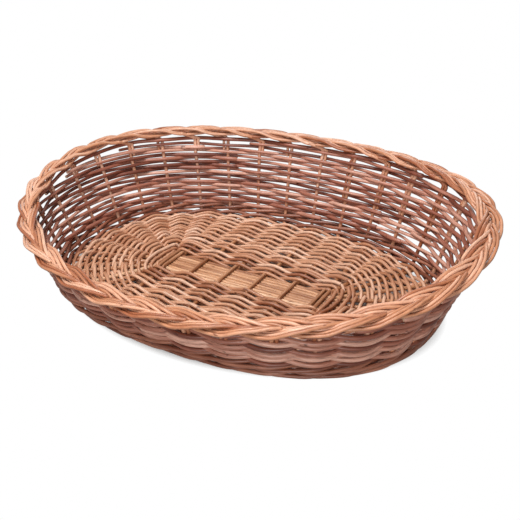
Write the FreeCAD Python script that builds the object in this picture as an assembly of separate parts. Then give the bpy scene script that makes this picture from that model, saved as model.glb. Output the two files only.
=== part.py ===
"""Oval wicker pet bed: a woven base, a low woven wall and a plaited border.

Frame: +X along the bed, -Y towards the low entrance, +Z up, origin on the ground
under the middle of the bed. All sizes are in millimetres.

Every piece is a willow rod. A rod is one swept solid: a round section carried along
a smooth centre line. Turns round the bed are counted in stakes, anticlockwise from
the +X end as seen from above.
"""
import FreeCAD, Part
import math
import os

Vector = FreeCAD.Vector
UP = Vector(0, 0, 1)

# Overall shape
STAKES = 32
FLOOR_HALF_LENGTH = 238.0
FLOOR_HALF_WIDTH = 175.0
FLOOR_FULLNESS = 2.4
RIM_HALF_LENGTH = 286.0
RIM_HALF_WIDTH = 207.0
RIM_FULLNESS = 2.17
BACK_HEIGHT = 127.0
FRONT_HEIGHT = 68.0
END_HEIGHT = 115.0
END_HEIGHT_DIFFERENCE = 4.0

# Rods
STICK_RADIUS = 2.7
BASE_WEAVER_RADIUS = 1.8
STAKE_RADIUS = 2.5
BORDER_ROD_RADIUS = 1.95
WALE_RADIUS = 2.25
SIDE_WEAVER_RADIUS = 1.9
GAP = 0.15

# Base
BASE_Z = 6.5
BASE_CROWN = 1.2
LONG_STICKS = 8
LONG_STICK_PITCH = 5.6
CROSS_PITCH = 42.7
CROSS_PAIR_HALF_GAP = 3.3
CROSS_HALF_HEIGHT = 6.6
CROSS_HALF_WIDTH = 3.0
SLATH_Y = -9.0
SLATH_END = 8.3
SLATH_SIDE_GAP = 2.0
SLIT_SIDE_CLEARANCE = 0.6
SWELL_BEYOND_SLIT = 9.0
BASE_ROWS = 27
BUNDLED_ROWS = 6
PAIRED_ROWS = 11
MIDDLE_BAND_FROM = 9
OUTER_BAND_FROM = 18
LAST_ROW_SHARE = 0.945
STICK_END_SHARE = 0.955

# Wall
STAKE_OFFSET = -0.2
WALL_FOOT = 5.0
BEND_INSET = 4.5
BEND_LIFT = 1.2
STAKE_FOOT_LENGTH = 26.0
STAKE_FOOT_STEP = 8.0
STAKE_BESIDE_STICK = 5.3
WALL_Z = 13.5
LOW_WALE_Z = 7.8
LOW_WALE_TILT = math.radians(60)
HIGH_WALE_Z = 16.2
WALE_ENDS = (STAKES + 1, STAKES + 2, STAKES)
WALE_START = math.radians(60)
WALE_SWING = (1 / 3, 1.025, -0.308)
WALE_SPREAD = 1.12
FIRST_ROW_Z = 23.2
SIDE_ROWS = 20
TOP_ROW = SIDE_ROWS - 1
FRONT_ROW_PITCH = 3.9
BACK_ROW_PITCH = 4.9
ROOM_BELOW_TOP_ROW = 4.0
LONG_BY_STAKES = (3, 4, 5, 6, 7)
LONG_BY_STAKE_LENGTH = 62.0
SHORT_BY_STAKE_LENGTH = 16.0
BY_STAKE_SHIFT = 5.3

# Border: a three-strand plait. Each strand holds three rods side by side and makes one
# full wave in three stakes. A stake makes about one wave in the middle lane of its strand.
# Its by-stake makes nearly two, in the inner lane beside an even stake and in the outer
# lane beside an odd one. The swing across and the lift each have a slow and a quick part.
PLAIT_SWING = 9.25
PLAIT_QUICK_SWING = 1.55
PLAIT_LIFT = 4.4
PLAIT_QUICK_LIFT = 1.9
PLAIT_LANE = 4.2
PLAIT_TILT = math.radians(8.6)
PLAIT_STEP = math.radians(15)
PLAIT_START = math.radians(-135)
PLAIT_LEAD = 0.3
STAKE_RUN = math.radians(330)
BY_STAKE_RUN = math.radians(705)
BORDER_DEPTH = 7.25
TURN_DOWN = BORDER_DEPTH + 3.5
TOP_ROW_DROP = BORDER_DEPTH + 3.75

SPLINE_ROUNDS = 24
SECTION_POLES = 8
SECTION_SHRINK = (4 + 2 * math.cos(2 * math.pi / SECTION_POLES)) / 6


def smooth_poles(points, closed):
    """Poles of the cubic spline that passes through the points."""
    poles = list(points)
    count = len(points)
    for _ in range(SPLINE_ROUNDS):
        moved = []
        for i, point in enumerate(points):
            if closed or 0 < i < count - 1:
                bend = poles[i - 1] - poles[i] * 2 + poles[(i + 1) % count]
                moved.append(point - bend * (1 / 6))
            else:
                moved.append(point)
        poles = moved
    return poles


def knots_for(count, closed):
    """Knots and multiplicities of an even cubic spline."""
    if closed:
        return [float(k) for k in range(count + 1)], [1] * (count + 1)
    inner = count - 4
    return [float(k) for k in range(inner + 2)], [4] + [1] * inner + [4]


def rod(points, radii, ups, closed=False):
    """A round rod along the points; ups[i] is roughly square to the rod at point i."""
    poles = smooth_poles(points, closed)
    count = len(poles)
    rings = []
    for i in range(count):
        before = poles[i - 1] if closed or i > 0 else poles[0]
        after = poles[(i + 1) % count] if closed or i < count - 1 else poles[-1]
        along = (after - before).normalize()
        side = along.cross(ups[i]).normalize()
        top = side.cross(along)
        reach = radii[i] / SECTION_SHRINK
        ring = []
        for k in range(SECTION_POLES):
            angle = 2 * math.pi * k / SECTION_POLES
            ring.append(poles[i] + side * (reach * math.cos(angle)) + top * (reach * math.sin(angle)))
        rings.append(ring)
    u_knots, u_mults = knots_for(count, closed)
    v_knots, v_mults = knots_for(SECTION_POLES, True)
    surface = Part.BSplineSurface()
    surface.buildFromPolesMultsKnots(rings, u_mults, v_mults, u_knots, v_knots, closed, True, 3, 3)
    skin = surface.toShape()
    faces = [skin]
    if not closed:
        for u in (u_knots[0], u_knots[-1]):
            faces.append(Part.Face(Part.Wire([surface.uIso(u).toShape()])))
    shell = Part.Shell(faces)
    if not closed:
        shell.sewShape()
    solid = Part.Solid(shell)
    if solid.Volume < 0:
        solid.reverse()
    return solid


def even_rod(points, radius, ups, closed=False):
    """A rod of one radius."""
    return rod(points, [radius] * len(points), ups, closed)


class Oval:
    """A rounded oval, measured by length from its +X end."""

    steps = 1440

    def __init__(self, half_length, half_width, fullness):
        self.points = []
        self.run = [0.0]
        for k in range(self.steps + 1):
            angle = 2 * math.pi * k / self.steps
            x = math.copysign(abs(math.cos(angle)) ** (2 / fullness), math.cos(angle))
            y = math.copysign(abs(math.sin(angle)) ** (2 / fullness), math.sin(angle))
            self.points.append(Vector(half_length * x, half_width * y, 0))
            if k:
                self.run.append(self.run[-1] + (self.points[k] - self.points[k - 1]).Length)

    def at(self, stake):
        """The point so many stakes round the oval."""
        wanted = (stake % STAKES) / STAKES * self.run[-1]
        low, high = 0, self.steps
        while high - low > 1:
            middle = (low + high) // 2
            if self.run[middle] > wanted:
                high = middle
            else:
                low = middle
        share = (wanted - self.run[low]) / (self.run[high] - self.run[low])
        return self.points[low] + (self.points[high] - self.points[low]) * share


FLOOR_EDGE = Oval(FLOOR_HALF_LENGTH, FLOOR_HALF_WIDTH, FLOOR_FULLNESS)
WALL_LINE = Oval(FLOOR_HALF_LENGTH + WALL_FOOT, FLOOR_HALF_WIDTH + WALL_FOOT, FLOOR_FULLNESS)
RIM_LINE = Oval(RIM_HALF_LENGTH, RIM_HALF_WIDTH, RIM_FULLNESS)


def border_height(stake):
    """Height of the middle of the border: high at the back, dipping at the entrance."""
    point = RIM_LINE.at(stake)
    length_share = point.x / RIM_HALF_LENGTH
    width_share = point.y / RIM_HALF_WIDTH
    size = math.hypot(length_share, width_share)
    to_back = width_share / size
    mean = (BACK_HEIGHT + FRONT_HEIGHT) / 2
    height = END_HEIGHT + (BACK_HEIGHT - FRONT_HEIGHT) / 2 * to_back + (mean - END_HEIGHT) * to_back ** 2
    return height + END_HEIGHT_DIFFERENCE * length_share / size


def rim_point(stake):
    """A point on the middle line of the border."""
    point = RIM_LINE.at(stake)
    return Vector(point.x, point.y, border_height(stake))


def wall_point(stake, height):
    """A point on the middle surface of the wall."""
    foot = WALL_LINE.at(stake)
    foot.z = WALL_Z
    rim = rim_point(stake)
    return foot + (rim - foot) * ((height - WALL_Z) / (rim.z - WALL_Z))


def wall_up(stake):
    """The direction that the wall climbs in."""
    return (wall_point(stake, border_height(stake)) - wall_point(stake, WALL_Z)).normalize()


def outward(line, stake):
    """The level direction away from the bed, square to an oval."""
    along = line.at(stake + 0.05) - line.at(stake - 0.05)
    return along.cross(UP).normalize()


def wall_outward(stake):
    """Square to the wall, away from the bed."""
    along = (wall_point(stake + 0.05, 60) - wall_point(stake - 0.05, 60)).normalize()
    return along.cross(wall_up(stake)).normalize()


# Base sticks. The 32 stick ends are numbered like the stakes, from the +X end.

def stick_inner(index):
    """Where a base stick leaves the middle of the base."""
    side, place = divmod(index, STAKES // 4)
    slath_end = 2.5 * CROSS_PITCH + SLATH_END
    long_y = (place - (LONG_STICKS - 1) / 2) * LONG_STICK_PITCH
    pair = 2.5 * CROSS_PITCH
    cross_x = [pair + CROSS_PAIR_HALF_GAP, pair - CROSS_PAIR_HALF_GAP]
    cross_x += [CROSS_PITCH * (1.5 - k) for k in range(4)]
    cross_x += [-pair + CROSS_PAIR_HALF_GAP, -pair - CROSS_PAIR_HALF_GAP]
    cross_y = LONG_STICKS / 2 * LONG_STICK_PITCH + SLATH_SIDE_GAP
    if side == 0:
        return Vector(slath_end, SLATH_Y + long_y, BASE_Z + BASE_CROWN)
    if side == 1:
        return Vector(cross_x[place], SLATH_Y + cross_y, BASE_Z + BASE_CROWN)
    if side == 2:
        return Vector(-slath_end, SLATH_Y - long_y, BASE_Z + BASE_CROWN)
    return Vector(-cross_x[place], SLATH_Y - cross_y, BASE_Z + BASE_CROWN)


def stick_outer(index):
    """Where a base stick ends, at the edge of the floor."""
    point = FLOOR_EDGE.at(index + 0.5 - STAKES / 8)
    return Vector(point.x, point.y, BASE_Z)


def stick_at(index, share):
    """A point part of the way out along a base stick."""
    inner = stick_inner(index % STAKES)
    return inner + (stick_outer(index % STAKES) - inner) * share


def long_base_sticks():
    """Straight through the middle of the base, fanned out at both ends."""
    solids = []
    quarter = STAKES // 4
    for k in range(LONG_STICKS):
        right = k
        left = 3 * quarter - 1 - k
        shares = [STICK_END_SHARE * t / 3 for t in range(4)]
        points = [stick_at(left, share) for share in reversed(shares)]
        middle = stick_at(right, 0) - stick_at(left, 0)
        points += [stick_at(left, 0) + middle * (t / 6) for t in range(1, 6)]
        points += [stick_at(right, share) for share in shares]
        solids.append(even_rod(points, STICK_RADIUS, [UP] * len(points)))
    return solids


def cross_stick(back, front):
    """A stick slit in the middle, so that the long sticks pass through it."""
    slit_half = LONG_STICKS / 2 * LONG_STICK_PITCH + SLIT_SIDE_CLEARANCE
    shares = [STICK_END_SHARE * (t + 1) / 4 for t in range(4)]
    points = [stick_at(front, share) for share in reversed(shares)]
    start = stick_at(front, 0)
    reach = stick_at(back, 0) - start
    points += [start + reach * (t / 6) for t in range(7)]
    points += [stick_at(back, share) for share in shares]
    blank = even_rod(points, STICK_RADIUS, [UP] * len(points))
    centre = (stick_inner(back).x + stick_inner(front).x) / 2
    middle_z = BASE_Z + BASE_CROWN
    swell = Part.makeSphere(1.0)
    stretch = FreeCAD.Matrix()
    stretch.scale(CROSS_HALF_WIDTH, slit_half + SWELL_BEYOND_SLIT, CROSS_HALF_HEIGHT)
    stretch.move(Vector(centre, SLATH_Y, middle_z))
    swell = swell.transformGeometry(stretch)
    slit_height = 2 * STICK_RADIUS + 2 * GAP
    slit_width = 4 * CROSS_HALF_WIDTH
    corner = Vector(centre - slit_width / 2, SLATH_Y - slit_half, middle_z - slit_height / 2)
    slit = Part.makeBox(slit_width, 2 * slit_half, slit_height, corner)
    return blank.fuse(swell).cut(slit).Solids[0]


def single_cross_sticks():
    """The four cross sticks that stand alone."""
    return [cross_stick(10 + k, 29 - k) for k in range(4)]


def paired_cross_sticks(right_end):
    """Two cross sticks side by side at an end of the slath, opened in a V."""
    if right_end:
        return [cross_stick(8, 31), cross_stick(9, 30)]
    return [cross_stick(14, 25), cross_stick(15, 24)]


def between_sticks(index, share):
    """The point half way to the next stick, on a smooth line through four sticks."""
    here, there = stick_at(index, share), stick_at(index + 1, share)
    before, beyond = stick_at(index - 1, share), stick_at(index + 2, share)
    return ((here + there) * 9 - (before + beyond)) * (1 / 16)


def stick_groups(row):
    """The sticks that a row passes together: bundles near the middle, then pairs, then one by one."""
    groups = []
    index = 0
    while index < STAKES:
        side, place = divmod(index, STAKES // 4)
        size = 1
        if row < BUNDLED_ROWS and side % 2 == 0:
            size = LONG_STICKS
        elif row < PAIRED_ROWS and (side % 2 == 0 or place in (0, 6)):
            size = 2
        groups.append(range(index, index + size))
        index += size
    return groups


def base_row(row):
    """One round of base weaving, over one group of sticks and under the next."""
    share = LAST_ROW_SHARE * row / (BASE_ROWS - 1)
    lift = STICK_RADIUS + BASE_WEAVER_RADIUS + GAP
    points = []
    for number, group in enumerate(stick_groups(row)):
        over = 1 if (number + row) % 2 else -1
        for stick in group:
            points.append(stick_at(stick, share) + UP * (over * lift))
        points.append(between_sticks(group[-1], share))
    return even_rod(points, BASE_WEAVER_RADIUS, [UP] * len(points), closed=True)


def base_weave(first, last):
    """A band of base rows, from near the middle outwards."""
    return [base_row(row) for row in range(first, last)]


# Stakes. Each one starts in the base beside a stick, turns up at the edge of the
# floor, climbs the wall and is laid down into the plait of the border.

def plait_point(stake, phase, lane):
    """A point of a border rod, and the direction across the border there.

    A rod lies on top while it crosses from an edge to the middle line. There it dives
    under the rods that come the other way, and it comes up again round the other edge.
    """
    along = RIM_LINE.at(stake + 0.05) - RIM_LINE.at(stake - 0.05)
    level = along.cross(UP).normalize()
    across = level * math.cos(PLAIT_TILT) - UP * math.sin(PLAIT_TILT)
    above = level * math.sin(PLAIT_TILT) + UP * math.cos(PLAIT_TILT)
    swing = PLAIT_SWING * math.sin(phase) + PLAIT_QUICK_SWING * math.sin(3 * phase) + PLAIT_LANE * lane
    lift = PLAIT_QUICK_LIFT * math.sin(4 * phase) - PLAIT_LIFT * math.sin(2 * phase)
    return rim_point(stake) + across * swing + above * lift, across


def plait_run(stake, length, lane):
    """Points and inward directions of one border rod after it leaves its stake."""
    points, inward = [], []
    for k in range(round(length / PLAIT_STEP) + 1):
        phase = PLAIT_START + PLAIT_STEP * k
        turn = stake + PLAIT_LEAD + 3 * (phase - PLAIT_START) / (2 * math.pi)
        point, across = plait_point(turn, phase, lane)
        points.append(point)
        inward.append(across * -1)
    return points, inward


def stake_rod(number):
    """One stake, from its foot in the base to its end in the border."""
    place = number + STAKE_OFFSET
    stick = (number + STAKES // 8 - 1) % STAKES
    inner, outer = stick_inner(stick), stick_outer(stick)
    out = (outer - inner).normalize()
    aside = UP.cross(out) * STAKE_BESIDE_STICK
    points = [outer - out * (STAKE_FOOT_LENGTH - STAKE_FOOT_STEP * k) + aside for k in range(3)]
    edge = WALL_LINE.at(place) + outward(WALL_LINE, place) * -BEND_INSET
    points.append(Vector(edge.x, edge.y, BASE_Z + BEND_LIFT))
    ups = [UP] * 3 + [UP - outward(WALL_LINE, place)]
    top = border_height(place) - TURN_DOWN
    climbs = 7
    for k in range(climbs + 1):
        points.append(wall_point(place, WALL_Z + (top - WALL_Z) * k / climbs))
        ups.append(wall_outward(place) * -1)
    run, run_ups = plait_run(place, STAKE_RUN, 0)
    radii = [STAKE_RADIUS] * len(points) + [BORDER_ROD_RADIUS] * len(run)
    return rod(points + run, radii, ups + run_ups)


def stakes(first):
    """Eight neighbouring stakes."""
    return [stake_rod(number % STAKES) for number in range(first, first + STAKES // 4)]


def by_stake_rod(number):
    """A rod pushed into the weave beside a stake; it follows the stake into the border."""
    place = number + STAKE_OFFSET
    lane = 1 if number % 2 else -1
    length = LONG_BY_STAKE_LENGTH if number in LONG_BY_STAKES else SHORT_BY_STAKE_LENGTH
    beside = lane * BY_STAKE_SHIFT / (RIM_LINE.run[-1] / STAKES)
    top = border_height(place) - TURN_DOWN
    steps = 5
    heights = [top - length + length * k / steps for k in range(steps + 1)]
    points = [wall_point(place + beside, height) for height in heights]
    ups = [wall_outward(place) * -1] * len(points)
    run, run_ups = plait_run(place, BY_STAKE_RUN, lane)
    return even_rod(points + run, BORDER_ROD_RADIUS, ups + run_ups)


def by_stakes(first):
    """Eight neighbouring by-stakes."""
    return [by_stake_rod(number) for number in range(first, first + STAKES // 4)]


# Wall weaving

def row_height(row, stake):
    """Height of a row of side weaving.

    Rows lie closer together at the low entrance. The top row follows the border.
    """
    if row == TOP_ROW:
        return border_height(stake) - TOP_ROW_DROP
    share = (border_height(stake) - FRONT_HEIGHT) / (BACK_HEIGHT - FRONT_HEIGHT)
    pitch = FRONT_ROW_PITCH + (BACK_ROW_PITCH - FRONT_ROW_PITCH) * share
    return FIRST_ROW_Z + row * pitch


def row_fits(row, stake):
    """Whether the wall is high enough for the row at a stake."""
    return row == TOP_ROW or row_height(row, stake) < row_height(TOP_ROW, stake) - ROOM_BELOW_TOP_ROW


def side_row(row):
    """One rod woven in front of one stake and behind the next.

    Rows too high for the low entrance end before they reach it. The top row goes all round.
    """
    swing = STAKE_RADIUS + SIDE_WEAVER_RADIUS + GAP
    from_front = range(-STAKES // 4, 3 * STAKES // 4)
    fitting = [number for number in from_front if row_fits(row, number + STAKE_OFFSET)]
    closed = len(fitting) == STAKES
    first, last = 2 * fitting[0], 2 * fitting[-1]
    if closed:
        last += 1
    points, ups = [], []
    for half in range(first, last + 1):
        place = half / 2 + STAKE_OFFSET
        side = 0 if half % 2 else (1 if (half // 2 + row) % 2 else -1)
        points.append(wall_point(place, row_height(row, place)) + wall_outward(place) * (side * swing))
        ups.append(wall_up(place))
    return even_rod(points, SIDE_WEAVER_RADIUS, ups, closed)


def wale_rod(strand, height):
    """One of three rods of a wale: in front of two stakes and behind the third."""
    swing = STAKE_RADIUS + WALE_RADIUS + GAP
    lift = WALE_SPREAD * WALE_RADIUS / math.cos(math.radians(30))
    points, ups = [], []
    for k in range(4 * (WALE_ENDS[strand] - strand)):
        place = STAKE_OFFSET + strand + k / 4
        phase = 2 * math.pi * (k / 4 / 3) + WALE_START
        across = swing * sum(size * math.cos(n * phase) for n, size in enumerate(WALE_SWING))
        if height > WALL_Z:
            centre, out, above = wall_point(place, height), wall_outward(place), wall_up(place)
        else:
            level = outward(WALL_LINE, place)
            centre = WALL_LINE.at(place) - level * BEND_INSET + UP * height
            out = level * math.cos(LOW_WALE_TILT) - UP * math.sin(LOW_WALE_TILT)
            above = level * math.sin(LOW_WALE_TILT) + UP * math.cos(LOW_WALE_TILT)
        points.append(centre + out * across + above * (lift * math.sin(phase)))
        ups.append(above)
    return even_rod(points, WALE_RADIUS, ups)


def export(name, solids):
    """Write one node."""
    shape = solids[0] if len(solids) == 1 else Part.makeCompound(solids)
    for solid in solids:
        if not (solid.isValid() and solid.isClosed() and solid.Volume > 0):
            print("check", name, solid.isValid(), solid.isClosed(), solid.Volume)
    shape.exportStep(os.path.join("parts", name + ".step"))


os.makedirs("parts", exist_ok=True)
export("long_base_sticks", long_base_sticks())
export("single_cross_sticks", single_cross_sticks())
export("right_cross_stick_pair", paired_cross_sticks(True))
export("left_cross_stick_pair", paired_cross_sticks(False))
export("base_weave_inner", base_weave(0, MIDDLE_BAND_FROM))
export("base_weave_middle", base_weave(MIDDLE_BAND_FROM, OUTER_BAND_FROM))
export("base_weave_outer", base_weave(OUTER_BAND_FROM, BASE_ROWS - 1))
export("base_edge_weaver", base_weave(BASE_ROWS - 1, BASE_ROWS))
for quarter, side_name in enumerate(("right", "back", "left", "front")):
    first = quarter * STAKES // 4 - STAKES // 8
    export(side_name + "_stakes", stakes(first))
    export(side_name + "_by_stakes", by_stakes(first))
for strand in range(3):
    export("low_wale_rod_" + str(strand + 1), [wale_rod(strand, LOW_WALE_Z)])
    export("high_wale_rod_" + str(strand + 1), [wale_rod(strand, HIGH_WALE_Z)])
for row in range(SIDE_ROWS):
    export("side_weaver_" + str(row + 1).zfill(2), [side_row(row)])
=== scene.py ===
"""Looks of the oval wicker pet bed: single willow rods, woven in the same order as the CAD.

Lengths in this script are millimetres in the row frame; meshes are turned into metres
when they are made. Turns round the bed are counted in stakes, anticlockwise from the
+X end. Every piece stands for one CAD node and is woven along the same lines, with the
taper, wander, cut ends and colour of real rods added; the darker colour of the wall and
wale rods is partly painted shade. Only the border plait differs a little: it has four
rods to a strand, where the CAD has three.
"""
import math

import bpy
import numpy as np
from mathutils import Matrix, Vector


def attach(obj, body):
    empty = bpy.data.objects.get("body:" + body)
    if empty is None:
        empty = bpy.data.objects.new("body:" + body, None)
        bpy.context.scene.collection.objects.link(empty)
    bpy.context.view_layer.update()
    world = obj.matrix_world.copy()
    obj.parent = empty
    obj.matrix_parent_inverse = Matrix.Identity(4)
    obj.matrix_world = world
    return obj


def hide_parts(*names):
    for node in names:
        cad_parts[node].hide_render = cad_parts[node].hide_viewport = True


METRES = 0.001
UP = np.array([0.0, 0.0, 1.0])

# Meshes of rods
SIDES = 8
CURVE_STEPS = 6
FINE_CURVE_STEPS = 4
END_BEVEL = 0.35
END_SHRINK = 0.72
LONGEST_BARK_OFFSET = 5000

# Overall shape
STAKES = 32
QUARTER = STAKES // 4
FLOOR_EDGE_SIZE = (238.0, 175.0, 2.4)
WALL_FOOT_SIZE = (243.0, 180.0, 2.4)
RIM_SIZE = (286.0, 207.0, 2.17)
BACK_HEIGHT = 127.0
FRONT_HEIGHT = 68.0
END_HEIGHT = 115.0
END_HEIGHT_DIFFERENCE = 4.0

# Rod radii
STICK_RADIUS = 2.5
BASE_WEAVER_RADIUS = 2.3
STAKE_RADIUS = 2.5
BORDER_RADIUS = 2.0
BORDER_TIP_RADIUS = 1.9
WALE_RADIUS = 2.35
SIDE_WEAVER_RADIUS = 2.6
SLIT_HALF_RADII = (1.3, 2.2)

# Thickness at the two ends of a rod, as a share of its radius
LONG_STICK_TAPER = (1.08, 0.94)
CROSS_STICK_TAPER = (1.06, 0.95)
BASE_WEAVER_TAPER = (1.1, 0.86)
BY_STAKE_TAPER = (1.05, 0.9)
SIDE_WEAVER_TAPER = (1.12, 0.8)
SIDE_WEAVER_SPREAD = (0.9, 1.08)

# How far rods wander off their line
STICK_WANDER = 0.25
BASE_WEAVER_WANDER = 0.32
BORDER_WANDER = 0.13
WALE_WANDER = 0.2
SIDE_WEAVER_WANDER = 0.5
WANDER_STEP = 9
LONG_WANDER_STEP = 21

# Base
BASE_Z = 6.5
BASE_CROWN = 1.2
LONG_STICKS = 8
LONG_STICK_PITCH = 5.6
CROSS_PITCH = 42.7
CROSS_PAIR_HALF_GAP = 3.3
SLATH_Y = -9.0
SLATH_END = 8.3
SLATH_SIDE_GAP = 2.0
CROSS_STICK_TINT = 0.25
CROSS_STICK_PAST_SLATH = 7.0
SLIT_SIDE_CLEARANCE = 0.6
SLIT_REACH = 6.0
SLIT_LIFTS = (1.1, 3.6)
SLIT_STEEPNESS = 3.2
BASE_ROWS = 27
BUNDLED_ROWS = 6
PAIRED_ROWS = 11
LAST_ROW_SHARE = 0.945
STICK_END_SHARE = 0.955
BASE_LIFT = 4.5

# Wall
STAKE_OFFSET = -0.2
BEND_INSET = 4.5
BEND_LIFT = 1.2
STAKE_FOOT_LENGTH = 26.0
STAKE_FOOT_STEP = 8.0
STAKE_BESIDE_STICK = 5.3
WALL_Z = 13.5
LOW_WALE_Z = 7.8
LOW_WALE_TILT = math.radians(60)
HIGH_WALE_Z = 16.2
FIRST_ROW_Z = 23.2
SIDE_ROWS = 20
TOP_ROW = SIDE_ROWS - 1
FRONT_ROW_PITCH = 3.9
BACK_ROW_PITCH = 4.9
ROOM_BELOW_TOP_ROW = 4.0
SIDE_SWING = 4.1
WEAVER_STAKES = (11, 18)
SHORTEST_WEAVER = 4
WEAVER_OVERLAP = 0.28
STEPS_PER_STAKE = 8
WALE_START = math.radians(60)
WALE_SWING = (1 / 3, 1.025, -0.308)
WALE_SPREAD = 1.12
LONG_BY_STAKES = (3, 4, 5, 6, 7)
LONG_BY_STAKE_LENGTH = 62.0
SHORT_BY_STAKE_LENGTH = 16.0
BY_STAKE_SHIFT = 5.3

# Border: a three-strand plait with four rods, one to a lane, in each strand. A strand goes
# once across and back in three stakes. It lies on top where it heads for the middle line.
PLAIT_SWING = 6.2
PLAIT_LANE = 4.05
PLAIT_LIFT = 4.6
PLAIT_MIDDLE = 3.0
PLAIT_ROLL = 0.55
PLAIT_START = math.radians(-135)
LAST_LANE_START = math.radians(-75)
PLAIT_RUN = math.radians(705)
PLAIT_LEAD = 0.3
PLAIT_STEPS = 7
PLAIT_TILT = math.radians(8.6)
STAKE_LANES = (-1.5, 0.5)
BY_STAKE_LANES = (-0.5, 1.5)
TURN_DOWN = 10.75
TOP_ROW_DROP = 10.7


# Small tools

def unit(vectors):
    """The vectors, each with length one."""
    return vectors / np.linalg.norm(vectors, axis=-1, keepdims=True)


def ease(share):
    """Goes smoothly from 0 to 1."""
    share = np.clip(share, 0.0, 1.0)
    return share * share * (3 - 2 * share)


def wander(rng, count, step, size):
    """Smooth random offsets for a line of points, with a new bend every few points."""
    knots = rng.normal(0.0, size, count // step + 3)
    where = np.arange(count) / step + rng.random()
    low = where.astype(int)
    share = ease(where - low)
    return knots[low] * (1 - share) + knots[low + 1] * share


def curve(points, steps):
    """A smooth line through the points, with so many steps from each to the next."""
    points = np.asarray(points, float)
    before, beyond = 2 * points[:1] - points[1:2], 2 * points[-1:] - points[-2:-1]
    padded = np.concatenate([before, points, beyond])
    a, b, c, d = padded[:-3, None], padded[1:-2, None], padded[2:-1, None], padded[3:, None]
    u = (np.arange(steps) / steps)[None, :, None]
    square = 2 * a - 5 * b + 4 * c - d
    cube = 3 * b - a - 3 * c + d
    line = 0.5 * (2 * b + (c - a) * u + square * u ** 2 + cube * u ** 3)
    line = line.reshape(-1, points.shape[1])
    return np.concatenate([line, points[-1:]])


def taper(line, ends, radius):
    """Radii along a line that change evenly from one end to the other."""
    return np.linspace(*ends, len(line)) * radius


class Oval:
    """A rounded oval, measured by length from its +X end."""

    def __init__(self, half_length, half_width, fullness):
        angle = np.linspace(0.0, 2 * math.pi, 2881)
        self.x = half_length * np.sign(np.cos(angle)) * np.abs(np.cos(angle)) ** (2 / fullness)
        self.y = half_width * np.sign(np.sin(angle)) * np.abs(np.sin(angle)) ** (2 / fullness)
        steps = np.hypot(np.diff(self.x), np.diff(self.y))
        self.run = np.concatenate([[0.0], np.cumsum(steps)])

    def at(self, stake):
        """Points so many stakes round the oval."""
        wanted = np.mod(stake, STAKES) / STAKES * self.run[-1]
        x = np.interp(wanted, self.run, self.x)
        return np.stack([x, np.interp(wanted, self.run, self.y), np.zeros_like(x)], axis=-1)

    def outward(self, stake):
        """The level direction away from the bed."""
        stake = np.asarray(stake, float)
        return unit(np.cross(self.at(stake + 0.05) - self.at(stake - 0.05), UP))


FLOOR_EDGE = Oval(*FLOOR_EDGE_SIZE)
WALL_LINE = Oval(*WALL_FOOT_SIZE)
RIM_LINE = Oval(*RIM_SIZE)


def border_height(stake):
    """Height of the middle of the border: high at the back, dipping at the entrance."""
    point = RIM_LINE.at(stake)
    length_share = point[..., 0] / RIM_SIZE[0]
    width_share = point[..., 1] / RIM_SIZE[1]
    size = np.hypot(length_share, width_share)
    to_back = width_share / size
    mean = (BACK_HEIGHT + FRONT_HEIGHT) / 2
    height = END_HEIGHT + (BACK_HEIGHT - FRONT_HEIGHT) / 2 * to_back + (mean - END_HEIGHT) * to_back ** 2
    return height + END_HEIGHT_DIFFERENCE * length_share / size


def rim_point(stake):
    """Points on the middle line of the border."""
    return RIM_LINE.at(stake) + border_height(stake)[..., None] * UP


def wall_point(stake, height):
    """Points on the middle surface of the wall."""
    stake = np.asarray(stake, float)
    height = np.asarray(height, float)
    foot = WALL_LINE.at(stake) + WALL_Z * UP
    rim = rim_point(stake)
    share = (height - WALL_Z) / (rim[..., 2] - WALL_Z)
    return foot + (rim - foot) * share[..., None]


def wall_up(stake):
    """The direction that the wall climbs in."""
    stake = np.asarray(stake, float)
    return unit(wall_point(stake, border_height(stake)) - wall_point(stake, WALL_Z + 0 * stake))


def wall_outward(stake):
    """Square to the wall, away from the bed."""
    stake = np.asarray(stake, float)
    middle = 60.0 + 0 * stake
    along = unit(wall_point(stake + 0.05, middle) - wall_point(stake - 0.05, middle))
    return unit(np.cross(along, wall_up(stake)))


# Rods into meshes

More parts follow.
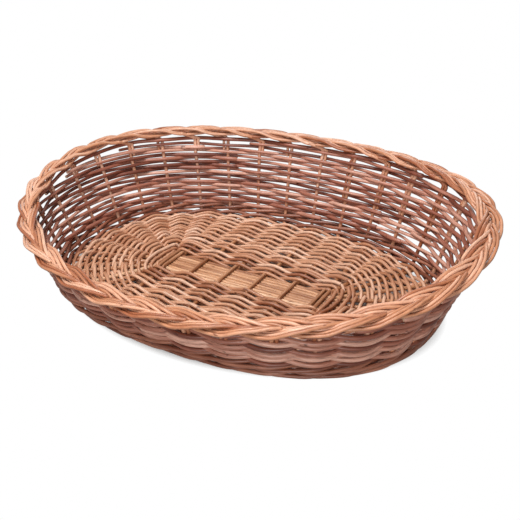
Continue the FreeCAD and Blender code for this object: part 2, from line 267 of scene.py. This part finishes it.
class Rods:
    """Rods gathered into one piece."""

    def __init__(self, seed):
        self.rng = np.random.default_rng(seed)
        self.points = []
        self.place = []
        self.tint = []
        self.cut = []
        self.faces = []
        self.count = 0

    def store(self, points, place, tint, cut):
        """Keep vertices and return the number of the first one."""
        first = self.count
        self.points.append(points)
        self.place.append(place)
        self.tint.append(np.full(len(points), tint))
        self.cut.append(np.full(len(points), cut))
        self.count += len(points)
        return first

    def add(self, centre, radius, ups, tint=None):
        """A round rod along the centre line, with a cut face at both ends."""
        count = len(centre)
        radius = np.broadcast_to(np.asarray(radius, float), (count,))
        ups = np.broadcast_to(np.asarray(ups, float), (count, 3))
        along = unit(np.gradient(centre, axis=0))
        bevel = END_BEVEL * radius[[0, -1], None] * along[[0, -1]]
        centre = np.concatenate([centre[:1] - bevel[:1], centre, centre[-1:] + bevel[1:]])
        radius = np.concatenate([END_SHRINK * radius[:1], radius, END_SHRINK * radius[-1:]])
        along = np.concatenate([along[:1], along, along[-1:]])
        ups = np.concatenate([ups[:1], ups, ups[-1:]])
        side = unit(np.cross(along, ups))
        top = np.cross(side, along)
        angle = 2 * math.pi * np.arange(SIDES) / SIDES
        cosine, sine = np.cos(angle)[None, :, None], np.sin(angle)[None, :, None]
        ring = (side[:, None] * cosine + top[:, None] * sine) * radius[:, None, None]
        points = centre[:, None] + ring
        steps = np.linalg.norm(np.diff(centre, axis=0), axis=1)
        length = np.concatenate([[0.0], np.cumsum(steps)]) + self.rng.random() * LONGEST_BARK_OFFSET
        place = np.zeros((len(centre), SIDES, 3))
        place[..., 0] = cosine[..., 0]
        place[..., 1] = sine[..., 0]
        place[..., 2] = length[:, None]
        tint = self.rng.random() if tint is None else tint
        first = self.store(points.reshape(-1, 3), place.reshape(-1, 3), tint, 0.0)
        here = np.arange(len(centre) - 1)[:, None] * SIDES
        k = np.arange(SIDES)[None, :]
        beside = (k + 1) % SIDES
        quads = np.stack([here + k, here + SIDES + k, here + SIDES + beside, here + beside], axis=-1)
        self.faces += (first + quads.reshape(-1, 4)).tolist()
        for end, order in ((0, 1), (-1, -1)):
            face = self.store(points[end], place[end], tint, 1.0)
            self.faces.append([face + i for i in range(SIDES)][::order])

    def piece(self, node, material, slot):
        """Make the mesh object that stands for a CAD node."""
        mesh = bpy.data.meshes.new("willow_" + node)
        mesh.from_pydata((np.concatenate(self.points) * METRES).tolist(), [], self.faces)
        for name, kind, key, values in (
            ("rod_place", "FLOAT_VECTOR", "vector", np.concatenate(self.place)),
            ("rod_tint", "FLOAT", "value", np.concatenate(self.tint)),
            ("rod_cut", "FLOAT", "value", np.concatenate(self.cut)),
        ):
            attribute = mesh.attributes.new(name, kind, "POINT")
            attribute.data.foreach_set(key, values.astype(np.float32).ravel())
        mesh.shade_smooth()
        mesh.materials.append(material)
        made = bpy.data.objects.new("willow_" + node, mesh)
        bpy.context.scene.collection.objects.link(made)
        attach(made, "root")
        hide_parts(node)
        return made


# Materials

def linear(red, green, blue):
    """A screen colour from 0 to 255 as the linear colour that shaders use."""
    parts = [value / 255 for value in (red, green, blue)]
    return [part / 12.92 if part <= 0.04045 else ((part + 0.055) / 1.055) ** 2.4 for part in parts] + [1.0]


class Nodes:
    """A short way to write a node tree."""

    def __init__(self, name):
        self.material = bpy.data.materials.new(name)
        self.material.use_nodes = True
        self.tree = self.material.node_tree
        self.shader = self.tree.nodes["Principled BSDF"]

    def node(self, kind, inputs=(), **settings):
        """Add a node; inputs are (socket, value or output) pairs."""
        made = self.tree.nodes.new("ShaderNode" + kind)
        for key, value in settings.items():
            setattr(made, key, value)
        for socket, value in inputs:
            self.join(value, made.inputs[socket])
        return made

    def join(self, value, socket):
        """Link an output, or set a value."""
        if isinstance(value, bpy.types.NodeSocket):
            self.tree.links.new(value, socket)
        else:
            socket.default_value = value

    def mapped(self, vector, scale):
        """A vector, stretched."""
        inputs = ((0, vector), (1, scale))
        return self.node("VectorMath", inputs, operation="MULTIPLY").outputs[0]

    def noise(self, vector, detail=2.0):
        """Noise with a value about 0.5."""
        inputs = (("Vector", vector), ("Scale", 1.0), ("Detail", detail))
        return self.node("TexNoise", inputs).outputs["Fac"]

    def spread(self, value, low, high, to_low, to_high):
        """A value carried from one range to another."""
        inputs = ((0, value), (1, low), (2, high), (3, to_low), (4, to_high))
        return self.node("MapRange", inputs, clamp=True).outputs[0]

    def mix(self, share, first, second, how="MIX"):
        """Two colours mixed."""
        made = self.node("Mix", data_type="RGBA", blend_type=how)
        self.join(share, made.inputs[0])
        self.join(first, made.inputs[6])
        self.join(second, made.inputs[7])
        return made.outputs[2]

    def ramp(self, value, colours):
        """Colours spread evenly over 0 to 1."""
        made = self.node("ValToRGB", ((0, value),))
        elements = made.color_ramp.elements
        while len(elements) < len(colours):
            elements.new(0.5)
        for k, colour in enumerate(colours):
            elements[k].position = k / (len(colours) - 1)
            elements[k].color = linear(*colour)
        return made.outputs[0]


def willow(name, colours, dark, cut, roughness):
    """Smooth willow bark: a colour for each rod, streaks along it, knots and pale cut ends."""
    make = Nodes(name)
    place = make.node("Attribute", attribute_name="rod_place").outputs["Vector"]
    tint = make.node("Attribute", attribute_name="rod_tint").outputs["Fac"]
    is_cut = make.node("Attribute", attribute_name="rod_cut").outputs["Fac"]
    slow = make.noise(make.mapped(place, (0.35, 0.35, 0.012)))
    streak = make.noise(make.mapped(place, (3.5, 3.5, 0.09)), 4.0)
    fine = make.noise(make.mapped(place, (9.0, 9.0, 0.8)), 3.0)
    knot = make.noise(make.mapped(place, (0.5, 0.5, 0.11)), 1.0)

    shift = make.spread(slow, 0.3, 0.7, -0.28, 0.28)
    shade = make.node("Math", ((0, tint), (1, shift)), operation="ADD").outputs[0]
    colour = make.ramp(shade, colours)
    colour = make.mix(make.spread(streak, 0.45, 0.75, 0.0, 0.65), colour, linear(*dark))
    knots = make.spread(knot, 0.70, 0.78, 0.0, 0.75)
    colour = make.mix(knots, colour, linear(*dark))
    colour = make.mix(is_cut, colour, linear(*cut))
    make.join(colour, make.shader.inputs["Base Color"])

    uneven_roughness = make.spread(streak, 0.3, 0.7, roughness - 0.08, roughness + 0.14)
    make.join(uneven_roughness, make.shader.inputs["Roughness"])
    make.join(0.25, make.shader.inputs["Coat Weight"])
    make.join(0.3, make.shader.inputs["Coat Roughness"])
    height = make.node("Math", ((0, streak), (1, fine)), operation="ADD").outputs[0]
    height = make.node("Math", ((0, height), (1, knots)), operation="ADD").outputs[0]
    bump = make.node("Bump", (("Height", height), ("Strength", 0.35), ("Distance", 0.0004)))
    make.join(bump.outputs[0], make.shader.inputs["Normal"])
    return make.material


def materials():
    """One willow for each part of the bed; they differ in colour as the real rods do, and the wall and
    wale willow are also darker than the base willow as painted shade.
    """
    return {
        "stick": willow(
            "golden_stick_willow",
            ((150, 92, 54), (214, 158, 116), (238, 194, 156)),
            dark=(128, 74, 44), cut=(232, 200, 160), roughness=0.4,
        ),
        "floor": willow(
            "golden_floor_willow",
            ((156, 92, 58), (196, 136, 100), (220, 164, 128), (238, 192, 162)),
            dark=(92, 42, 20), cut=(226, 190, 150), roughness=0.4,
        ),
        # Darker ramp: partly the rods' own tone, partly painted shade for upright walls that get less
        # light.
        "wall": willow(
            "mauve_wall_willow_with_painted_shade",
            ((114, 58, 40), (158, 94, 74), (186, 124, 102), (224, 172, 150)),
            dark=(74, 30, 18), cut=(230, 196, 164), roughness=0.4,
        ),
        # Darker ramp: partly the rods' own tone, partly painted shade for the low outer wall under the
        # border.
        "wale": willow(
            "dark_wale_willow_with_painted_shade",
            ((112, 56, 36), (148, 88, 64), (180, 118, 92)),
            dark=(62, 22, 12), cut=(222, 186, 150), roughness=0.4,
        ),
        "border": willow(
            "orange_border_willow",
            ((168, 100, 66), (204, 142, 104), (222, 164, 130), (236, 186, 156)),
            dark=(104, 46, 24), cut=(236, 204, 168), roughness=0.36,
        ),
    }


# Base. The 32 stick ends are numbered like the stakes, from the +X end.

def stick_ends():
    """Inner and outer points of the base sticks."""
    slath_end = 2.5 * CROSS_PITCH + SLATH_END
    pair = 2.5 * CROSS_PITCH
    cross_x = [pair + CROSS_PAIR_HALF_GAP, pair - CROSS_PAIR_HALF_GAP]
    cross_x += [CROSS_PITCH * (1.5 - k) for k in range(4)]
    cross_x += [-pair + CROSS_PAIR_HALF_GAP, -pair - CROSS_PAIR_HALF_GAP]
    cross_y = LONG_STICKS / 2 * LONG_STICK_PITCH + SLATH_SIDE_GAP
    long_y = [(k - (LONG_STICKS - 1) / 2) * LONG_STICK_PITCH for k in range(LONG_STICKS)]
    level = BASE_Z + BASE_CROWN
    inner = [(slath_end, SLATH_Y + y, level) for y in long_y]
    inner += [(x, SLATH_Y + cross_y, level) for x in cross_x]
    inner += [(-slath_end, SLATH_Y - y, level) for y in long_y]
    inner += [(-x, SLATH_Y - cross_y, level) for x in cross_x]
    outer = FLOOR_EDGE.at(np.arange(STAKES) + 0.5 - QUARTER / 2) + BASE_Z * UP
    return np.array(inner), outer


STICK_INNER, STICK_OUTER = stick_ends()


def stick_at(index, share):
    """A point part of the way out along a base stick."""
    index = index % STAKES
    return STICK_INNER[index] + (STICK_OUTER[index] - STICK_INNER[index]) * share


def uneven(rods, line, ups, size, step=WANDER_STEP):
    """A line that wanders a little to both sides, as a grown rod does."""
    along = unit(np.gradient(line, axis=0))
    side = unit(np.cross(along, np.broadcast_to(ups, line.shape)))
    top = np.cross(side, along)
    count = len(line)
    sideways = wander(rods.rng, count, step, size)[:, None]
    upward = wander(rods.rng, count, step, size)[:, None]
    return line + side * sideways + top * upward


def above_ground(line, radius):
    """The line, lifted where a rod would sink into the ground."""
    line[:, 2] = np.maximum(line[:, 2], radius)
    return line


def long_base_sticks():
    """Straight through the middle of the base, fanned out at both ends."""
    rods = Rods(1)
    for k in range(LONG_STICKS):
        left = 3 * QUARTER - 1 - k
        points = [stick_at(left, STICK_END_SHARE * t / 4) for t in range(4, 0, -1)]
        start, finish = stick_at(left, 0.0), stick_at(k, 0.0)
        points += [start + (finish - start) * (t / 8) for t in range(9)]
        points += [stick_at(k, STICK_END_SHARE * t / 4) for t in range(1, 5)]
        line = uneven(rods, curve(points, CURVE_STEPS), UP, STICK_WANDER)
        rods.add(line, taper(line, LONG_STICK_TAPER, STICK_RADIUS), UP)
    return rods


def cross_stick(rods, back, front):
    """A stick slit in the middle: one half passes over the long sticks, the other under."""
    slit_half = LONG_STICKS / 2 * LONG_STICK_PITCH + SLIT_SIDE_CLEARANCE
    for end, other in ((back, front), (front, back)):
        inner, across = stick_at(end, 0.0), stick_at(other, 0.0)
        toward = unit(across - inner)
        points = [inner + toward * CROSS_STICK_PAST_SLATH]
        points += [stick_at(end, STICK_END_SHARE * t / 5) for t in range(6)]
        line = uneven(rods, curve(points, CURVE_STEPS), UP, STICK_WANDER)
        rods.add(line, taper(line, CROSS_STICK_TAPER, STICK_RADIUS), UP, CROSS_STICK_TINT)
    centre = (stick_at(back, 0.0) + stick_at(front, 0.0)) / 2
    reach = unit(stick_at(back, 0.0) - stick_at(front, 0.0))
    share = np.linspace(-1.0, 1.0, 31)
    opening = ease((1 - np.abs(share)) * SLIT_STEEPNESS)
    thin, thick = SLIT_HALF_RADII
    for side in (1, -1):
        line = centre + reach * (share * (slit_half + SLIT_REACH))[:, None]
        line = line + UP * (side * (SLIT_LIFTS[0] + SLIT_LIFTS[1] * opening))[:, None]
        rods.add(line, thin + (thick - thin) * opening, UP, CROSS_STICK_TINT)


def single_cross_sticks():
    """The four cross sticks that stand alone."""
    rods = Rods(2)
    for k in range(4):
        cross_stick(rods, 10 + k, 29 - k)
    return rods


def paired_cross_sticks(first_back, first_front, seed):
    """Two cross sticks side by side at an end of the slath."""
    rods = Rods(seed)
    for k in range(2):
        cross_stick(rods, first_back + k, first_front - k)
    return rods


def stick_groups(row):
    """Sticks that a base row passes together: whole bundles first, then pairs, then one by one."""
    groups = []
    index = 0
    while index < STAKES:
        side, place = divmod(index, QUARTER)
        size = 1
        if row < BUNDLED_ROWS and side % 2 == 0:
            size = LONG_STICKS
        elif row < PAIRED_ROWS and (side % 2 == 0 or place in (0, 6)):
            size = 2
        groups.append(range(index, index + size))
        index += size
    return groups


def base_row(rods, row):
    """One round of base weaving, in front of one stick and behind the next."""
    share = LAST_ROW_SHARE * row / (BASE_ROWS - 1)
    points = []
    for number, group in enumerate(stick_groups(row)):
        over = 1 if (number + row) % 2 else -1
        for stick in group:
            points.append(stick_at(stick, share) + UP * (over * BASE_LIFT))
        last = group[-1]
        here, there = stick_at(last, share), stick_at(last + 1, share)
        before, beyond = stick_at(last - 1, share), stick_at(last + 2, share)
        points.append((here + there) * 0.5625 - (before + beyond) * 0.0625)
    start = rods.rng.integers(len(points))
    points = points[start:] + points[:start]
    points += points[:2]
    line = uneven(rods, curve(points, CURVE_STEPS), UP, BASE_WEAVER_WANDER)
    line = above_ground(line, BASE_WEAVER_TAPER[0] * BASE_WEAVER_RADIUS)
    rods.add(line, taper(line, BASE_WEAVER_TAPER, BASE_WEAVER_RADIUS), UP)


def base_weave(first, last, seed):
    """A band of base rows, from near the middle outwards."""
    rods = Rods(seed)
    for row in range(first, last):
        base_row(rods, row)
    return rods


# Stakes and border

def plait_line(stake, lane, length):
    """Points and inward directions of a border rod, which swings across the border as it goes."""
    start = LAST_LANE_START if lane == BY_STAKE_LANES[1] else PLAIT_START
    phase = np.linspace(start, PLAIT_START + length, int(length * PLAIT_STEPS) + 2)
    turn = stake + PLAIT_LEAD + 3 * (phase - PLAIT_START) / (2 * math.pi)
    level = RIM_LINE.outward(turn)
    across = level * math.cos(PLAIT_TILT) - UP * math.sin(PLAIT_TILT)
    above = level * math.sin(PLAIT_TILT) + UP * math.cos(PLAIT_TILT)
    swing = PLAIT_SWING * np.sin(phase) + lane * PLAIT_LANE
    outgoing = np.cos(phase) / np.hypot(np.cos(phase), PLAIT_ROLL)
    lift = -PLAIT_LIFT * np.tanh(swing / PLAIT_MIDDLE) * outgoing
    return rim_point(turn) + across * swing[:, None] + above * lift[:, None], -across


def stake_rod(rods, number):
    """One stake, from its foot in the base to its end in the border."""
    place = number + STAKE_OFFSET
    stick = (number + QUARTER // 2 - 1) % STAKES
    inner, outer = STICK_INNER[stick], STICK_OUTER[stick]
    out = unit(outer - inner)
    aside = np.cross(UP, out) * STAKE_BESIDE_STICK
    foot = [outer - out * (STAKE_FOOT_LENGTH - STAKE_FOOT_STEP * k) + aside for k in range(3)]
    edge = WALL_LINE.at(place) - WALL_LINE.outward(place) * BEND_INSET
    foot.append(edge + UP * (BASE_Z + BEND_LIFT))
    outward = WALL_LINE.outward(place)
    ups = [UP] * 3 + [UP - outward]
    top = border_height(place) - TURN_DOWN
    heights = np.linspace(WALL_Z, top, 8)
    climb = wall_point(np.full(8, place), heights)
    ups += [-wall_outward(place)] * 8
    run, run_ups = plait_line(place, STAKE_LANES[number % 2], PLAIT_RUN)
    points = np.concatenate([foot, climb, run])
    ups = np.concatenate([ups, run_ups])
    both = curve(np.concatenate([points, ups], axis=1), FINE_CURVE_STEPS)
    line = uneven(rods, both[:, :3], both[:, 3:], BORDER_WANDER)
    top_of_climb = FINE_CURVE_STEPS * (len(foot) + len(climb) - 1)
    in_border = top_of_climb + 4 * FINE_CURVE_STEPS
    stations = (0, top_of_climb, in_border, len(line))
    sizes = (STAKE_RADIUS, STAKE_RADIUS, BORDER_RADIUS, BORDER_TIP_RADIUS)
    radii = np.interp(np.arange(len(line)), stations, sizes)
    rods.add(line, radii, both[:, 3:])


def stakes(first, seed):
    """Eight neighbouring stakes."""
    rods = Rods(seed)
    for number in range(first, first + QUARTER):
        stake_rod(rods, number % STAKES)
    return rods


def by_stake_rod(rods, number):
    """A rod beside a stake, which follows it into the border."""
    place = number % STAKES + STAKE_OFFSET
    length = LONG_BY_STAKE_LENGTH if number in LONG_BY_STAKES else SHORT_BY_STAKE_LENGTH
    lane = BY_STAKE_LANES[number % 2]
    beside = math.copysign(BY_STAKE_SHIFT / (RIM_LINE.run[-1] / STAKES), lane)
    top = border_height(place) - TURN_DOWN
    heights = np.linspace(top - length, top, 6)
    climb = wall_point(np.full(6, place + beside), heights)
    run, run_ups = plait_line(place, lane, PLAIT_RUN)
    points = np.concatenate([climb, run])
    ups = np.concatenate([[-wall_outward(place)] * 6, run_ups])
    both = curve(np.concatenate([points, ups], axis=1), FINE_CURVE_STEPS)
    line = uneven(rods, both[:, :3], both[:, 3:], BORDER_WANDER)
    rods.add(line, taper(line, BY_STAKE_TAPER, BORDER_RADIUS), both[:, 3:])


def by_stakes(first, seed):
    """Eight neighbouring by-stakes."""
    rods = Rods(seed)
    for number in range(first, first + QUARTER):
        by_stake_rod(rods, number)
    return rods


# Wall weaving

def row_height(row, stake):
    """Height of a row of side weaving.

    Rows lie closer together at the low entrance. The top row follows the border.
    """
    if row == TOP_ROW:
        return border_height(stake) - TOP_ROW_DROP
    share = (border_height(stake) - FRONT_HEIGHT) / (BACK_HEIGHT - FRONT_HEIGHT)
    return FIRST_ROW_Z + row * (FRONT_ROW_PITCH + (BACK_ROW_PITCH - FRONT_ROW_PITCH) * share)


def side_row(row):
    """One row woven in front of one stake and behind the next, made of several rods."""
    rods = Rods(100 + row)
    numbers = np.arange(QUARTER - STAKES // 2, QUARTER + STAKES // 2)
    places = numbers + STAKE_OFFSET
    room = row_height(TOP_ROW, places) - row_height(row, places)
    fits = room > ROOM_BELOW_TOP_ROW
    if row == TOP_ROW or fits.all():
        first, last = numbers[0], numbers[-1] + 1
    else:
        first, last = numbers[fits][0], numbers[fits][-1]
    start = first
    while start < last:
        end = min(start + int(rods.rng.integers(*WEAVER_STAKES)), last)
        if last - end < SHORTEST_WEAVER:
            end = last
        count = int((end - start + 2 * WEAVER_OVERLAP) * STEPS_PER_STAKE)
        place = np.linspace(start - WEAVER_OVERLAP, end + WEAVER_OVERLAP, count) + STAKE_OFFSET
        side = np.cos(math.pi * (place - STAKE_OFFSET + row + 1))
        height = row_height(row, place)
        line = wall_point(place, height) + wall_outward(place) * (side * SIDE_SWING)[:, None]
        ups = wall_up(place)
        line = uneven(rods, line, ups, SIDE_WEAVER_WANDER)
        line = uneven(rods, line, ups, SIDE_WEAVER_WANDER, LONG_WANDER_STEP)
        thickness = SIDE_WEAVER_RADIUS * rods.rng.uniform(*SIDE_WEAVER_SPREAD)
        rods.add(line, taper(line, SIDE_WEAVER_TAPER, thickness), ups)
        start = end
    return rods


def wale_rod(strand, height, seed):
    """One of three rods of a wale: in front of two stakes and behind the third."""
    rods = Rods(seed)
    swing = STAKE_RADIUS + WALE_RADIUS
    lift = WALE_SPREAD * WALE_RADIUS / math.cos(math.radians(30))
    turns = np.linspace(0.0, STAKES + 1 - strand * 0.5, STAKES * STEPS_PER_STAKE)
    place = STAKE_OFFSET + strand + turns
    phase = 2 * math.pi * turns / 3 + WALE_START
    across = swing * (WALE_SWING[0] + WALE_SWING[1] * np.cos(phase) + WALE_SWING[2] * np.cos(2 * phase))
    if height > WALL_Z:
        centre, out, above = wall_point(place, height + 0 * place), wall_outward(place), wall_up(place)
    else:
        level = WALL_LINE.outward(place)
        centre = WALL_LINE.at(place) - level * BEND_INSET + UP * height
        out = level * math.cos(LOW_WALE_TILT) - UP * math.sin(LOW_WALE_TILT)
        above = level * math.sin(LOW_WALE_TILT) + UP * math.cos(LOW_WALE_TILT)
    line = centre + out * across[:, None] + above * (lift * np.sin(phase))[:, None]
    line = above_ground(uneven(rods, line, above, WALE_WANDER), WALE_RADIUS)
    rods.add(line, WALE_RADIUS, above)
    return rods


# The bed

def build_bed():
    """Every piece of the bed."""
    look = materials()
    long_base_sticks().piece("long_base_sticks", look["stick"], "base_stick_willow")
    single_cross_sticks().piece("single_cross_sticks", look["stick"], "base_stick_willow")
    paired_cross_sticks(8, 31, 3).piece("right_cross_stick_pair", look["stick"], "base_stick_willow")
    paired_cross_sticks(14, 25, 4).piece("left_cross_stick_pair", look["stick"], "base_stick_willow")
    base_weave(0, 9, 5).piece("base_weave_inner", look["floor"], "base_weaver_willow")
    base_weave(9, 18, 6).piece("base_weave_middle", look["floor"], "base_weaver_willow")
    base_weave(18, 26, 7).piece("base_weave_outer", look["floor"], "base_weaver_willow")
    base_weave(26, 27, 8).piece("base_edge_weaver", look["floor"], "base_weaver_willow")
    for k, side in enumerate(("right", "back", "left", "front")):
        first = QUARTER * k - QUARTER // 2
        stakes(first, 20 + k).piece(side + "_stakes", look["border"], "stake_and_border_willow")
        by_stakes(first, 30 + k).piece(side + "_by_stakes", look["border"], "stake_and_border_willow")
    for strand in range(3):
        number = str(strand + 1)
        low, high = wale_rod(strand, LOW_WALE_Z, 40 + strand), wale_rod(strand, HIGH_WALE_Z, 50 + strand)
        low.piece("low_wale_rod_" + number, look["wale"], "wale_willow")
        high.piece("high_wale_rod_" + number, look["wale"], "wale_willow")
    for row in range(SIDE_ROWS):
        node = "side_weaver_" + str(row + 1).zfill(2)
        side_row(row).piece(node, look["wall"], "side_weaver_willow")


# Stage

FLOOR_HALF_SIZE = 3.0
FLOOR_Z = -0.0005
# The bed's footprint and the fade at its edge mark where the floor's painted shade lies.
GROUND_RING = (0.245, 0.18)
FLOOR_FADE = (0.94, 1.04)

CAMERA_AZIMUTH = math.radians(29.41)
CAMERA_ELEVATION = math.radians(26.05)
CAMERA_DISTANCE = 0.994
CAMERA_AIM = Vector((0.0, 0.0, 0.06))
CAMERA_SENSOR = 36.0
CAMERA_LENS = 55.6
CAMERA_SHIFT = (0.0279, -0.0376)

SEEN_BRIGHTNESS = 1.0
LIT_BRIGHTNESS = 0.34


def floor_with_painted_shade():
    """Painted shade: dark grey under the bed, where its shade falls, so that its gaps look dark, and gone
    just outside it, so that the bed stands on white; the thin grey rim at its edge is a faint painted
    shadow.
    """
    make = Nodes("floor_with_painted_shade")
    # Dark grey colour: painted shade under the bed, where a white floor would only be shaded.
    make.join((0.3, 0.26, 0.24, 1.0), make.shader.inputs["Base Color"])
    make.join(0.9, make.shader.inputs["Roughness"])
    place = make.node("NewGeometry").outputs["Position"]
    share = make.mapped(place, (1 / GROUND_RING[0], 1 / GROUND_RING[1], 0.0))
    distance = make.node("VectorMath", ((0, share),), operation="LENGTH").outputs["Value"]
    make.join(make.spread(distance, *FLOOR_FADE, 1.0, 0.0), make.shader.inputs["Alpha"])
    return make.material


def floor():
    """A plain floor plane that carries the painted shade under the bed."""
    mesh = bpy.data.meshes.new("floor")
    signs = ((-1, -1), (1, -1), (1, 1), (-1, 1))
    corners = [(x * FLOOR_HALF_SIZE, y * FLOOR_HALF_SIZE, FLOOR_Z) for x, y in signs]
    mesh.from_pydata(corners, [], [(0, 1, 2, 3)])
    made = bpy.data.objects.new("floor", mesh)
    bpy.context.scene.collection.objects.link(made)
    mesh.materials.append(floor_with_painted_shade())


def lamp(name, place, aim, size, power):
    """A square soft light."""
    data = bpy.data.lights.new(name, "AREA")
    data.size = size
    data.energy = power
    made = bpy.data.objects.new(name, data)
    made.location = place
    made.rotation_euler = (Vector(aim) - Vector(place)).to_track_quat("-Z", "Y").to_euler()
    bpy.context.scene.collection.objects.link(made)


def daylight():
    """Pale surroundings: white to the camera, softer as a light."""
    world = bpy.data.worlds.new("studio")
    bpy.context.scene.world = world
    world.use_nodes = True
    tree = world.node_tree
    seen = tree.nodes.new("ShaderNodeBackground")
    seen.inputs[0].default_value = (1, 1, 1, 1)
    seen.inputs[1].default_value = SEEN_BRIGHTNESS
    lit = tree.nodes["Background"]
    lit.inputs[0].default_value = (1.0, 0.97, 0.96, 1)
    lit.inputs[1].default_value = LIT_BRIGHTNESS
    path = tree.nodes.new("ShaderNodeLightPath")
    choose = tree.nodes.new("ShaderNodeMixShader")
    tree.links.new(path.outputs["Is Camera Ray"], choose.inputs[0])
    tree.links.new(lit.outputs[0], choose.inputs[1])
    tree.links.new(seen.outputs[0], choose.inputs[2])
    tree.links.new(choose.outputs[0], tree.nodes["World Output"].inputs[0])


def camera():
    """The camera, at the angle that the bed is usually shown from."""
    data = bpy.data.cameras.new("camera")
    data.sensor_width = CAMERA_SENSOR
    data.lens = CAMERA_LENS
    data.shift_x, data.shift_y = CAMERA_SHIFT
    made = bpy.data.objects.new("camera", data)
    level = math.cos(CAMERA_ELEVATION)
    side, front = math.sin(CAMERA_AZIMUTH) * level, math.cos(CAMERA_AZIMUTH) * level
    back = Vector((side, -front, math.sin(CAMERA_ELEVATION)))
    made.location = CAMERA_AIM + back * CAMERA_DISTANCE
    made.rotation_mode = "QUATERNION"
    made.rotation_quaternion = (-back).to_track_quat("-Z", "Y")
    bpy.context.scene.collection.objects.link(made)
    bpy.context.scene.camera = made


def studio():
    """Floor, lights and camera."""
    floor()
    daylight()
    lamp("key", (-0.25, -0.8, 1.9), (0.0, 0.0, 0.0), 1.0, 41.0)
    lamp("fill", (0.6, -1.7, 0.35), (0.0, -0.1, 0.05), 0.9, 14.0)
    lamp("back", (-0.5, 1.8, 0.8), (0.0, 0.1, 0.05), 1.2, 9.0)
    camera()
    bpy.context.scene.view_settings.view_transform = "Standard"


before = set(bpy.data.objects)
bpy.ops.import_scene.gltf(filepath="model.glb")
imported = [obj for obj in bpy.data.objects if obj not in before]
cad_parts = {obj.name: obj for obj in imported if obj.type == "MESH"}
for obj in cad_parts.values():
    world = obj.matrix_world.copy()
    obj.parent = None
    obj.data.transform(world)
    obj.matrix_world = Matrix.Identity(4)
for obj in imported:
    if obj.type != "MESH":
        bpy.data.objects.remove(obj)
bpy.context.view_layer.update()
build_bed()
studio()
